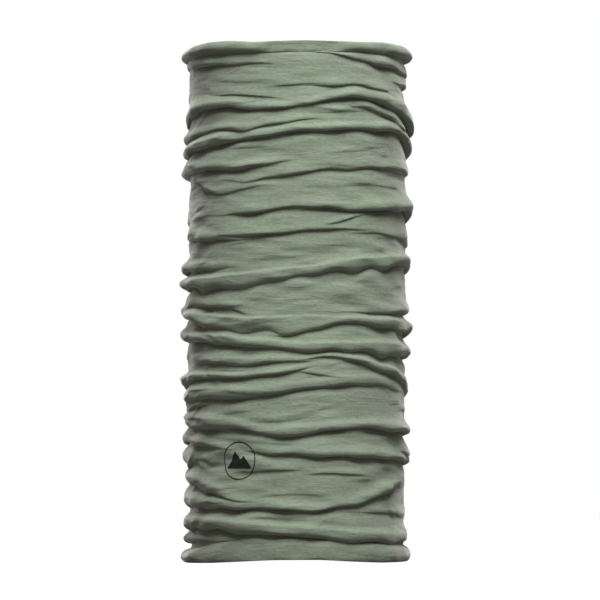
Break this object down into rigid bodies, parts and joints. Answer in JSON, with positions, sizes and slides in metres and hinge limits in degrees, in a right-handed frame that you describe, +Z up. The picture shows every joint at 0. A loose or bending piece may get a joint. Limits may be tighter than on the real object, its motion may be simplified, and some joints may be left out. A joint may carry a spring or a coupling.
{
  "type": "neck gaiter",
  "caption": "Soft knitted tube for the neck and face, standing on end in gathered folds, with rolled edges, a printed round emblem and a care label inside.",
  "frame": {"origin": "centre of the tube at the level of its bottom edge, which is what it stands on", "axes": "+Z up along the tube, -Y towards the viewer of the picture, +X to that viewer's right"},
  "size_m": [0.163, 0.163, 0.3582],
  "materials": {
    "tube_knit": "fine sage green jersey knit",
    "bottom_edge_knit": "fine sage green jersey knit",
    "top_edge_knit": "fine sage green jersey knit",
    "emblem_ring_ink": "satin screen print",
    "emblem_peaks_ink": "satin screen print",
    "label_ribbon": "smooth woven ribbon",
    "label_thread": "spun polyester thread"
  },
  "bodies": {
    "tube": {"tube_cloth": "tube_knit", "bottom_edge_roll": "bottom_edge_knit", "emblem_ring": "emblem_ring_ink", "emblem_peaks": "emblem_peaks_ink", "care_label_thread": "label_thread"},
    "top_edge": {"top_edge_roll": "top_edge_knit"},
    "label": {"care_label": "label_ribbon"}
  },
  "joints": [
    {"name": "gather_slide", "type": "slide", "parent": "tube", "child": "top_edge", "axis": [0, 0, 1], "range_m": [-0.18, 0], "deforming": ["tube_cloth", "emblem_ring", "emblem_peaks"]},
    {"name": "label_flip", "type": "hinge", "parent": "tube", "child": "label", "pos_m": [0, 0.0705, 0.0445], "axis": [-1, 0, 0], "range_deg": [0, 150]}
  ]
}
